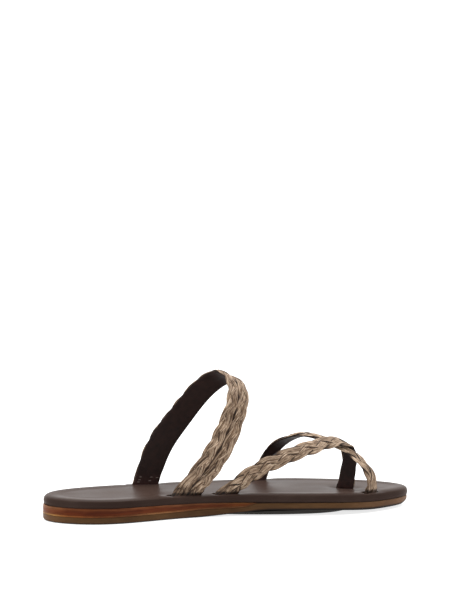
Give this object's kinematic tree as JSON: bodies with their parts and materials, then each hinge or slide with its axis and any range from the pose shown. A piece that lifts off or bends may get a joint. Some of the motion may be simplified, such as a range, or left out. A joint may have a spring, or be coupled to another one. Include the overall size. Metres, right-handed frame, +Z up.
{
  "type": "braided sandal",
  "caption": "Flat slide sandal for the left foot with a braided double strap over the instep, crossed braided straps that loop the big toe, and a low layered sole.",
  "frame": {"origin": "on the floor under the middle of the sole's outline", "axes": "+X from heel to toe, +Y to the little-toe side, +Z up"},
  "size_m": [0.2566, 0.0867, 0.0947],
  "materials": {
    "pad_rubber": "matt dark-grey rubber",
    "outsole_rubber": "satin brown sole",
    "wedge_leather": "satin orange-brown stained edge",
    "footbed_leather": "smooth dark-brown leather",
    "instep_braid": "matt braided plant fibre",
    "toe_braid": "matt braided plant fibre"
  },
  "bodies": {
    "root": {"forefoot_pad": "pad_rubber", "outsole": "outsole_rubber", "heel_wedge": "wedge_leather", "footbed": "footbed_leather", "instep_strap": "instep_braid", "toe_straps": "toe_braid"}
  },
  "joints": []
}
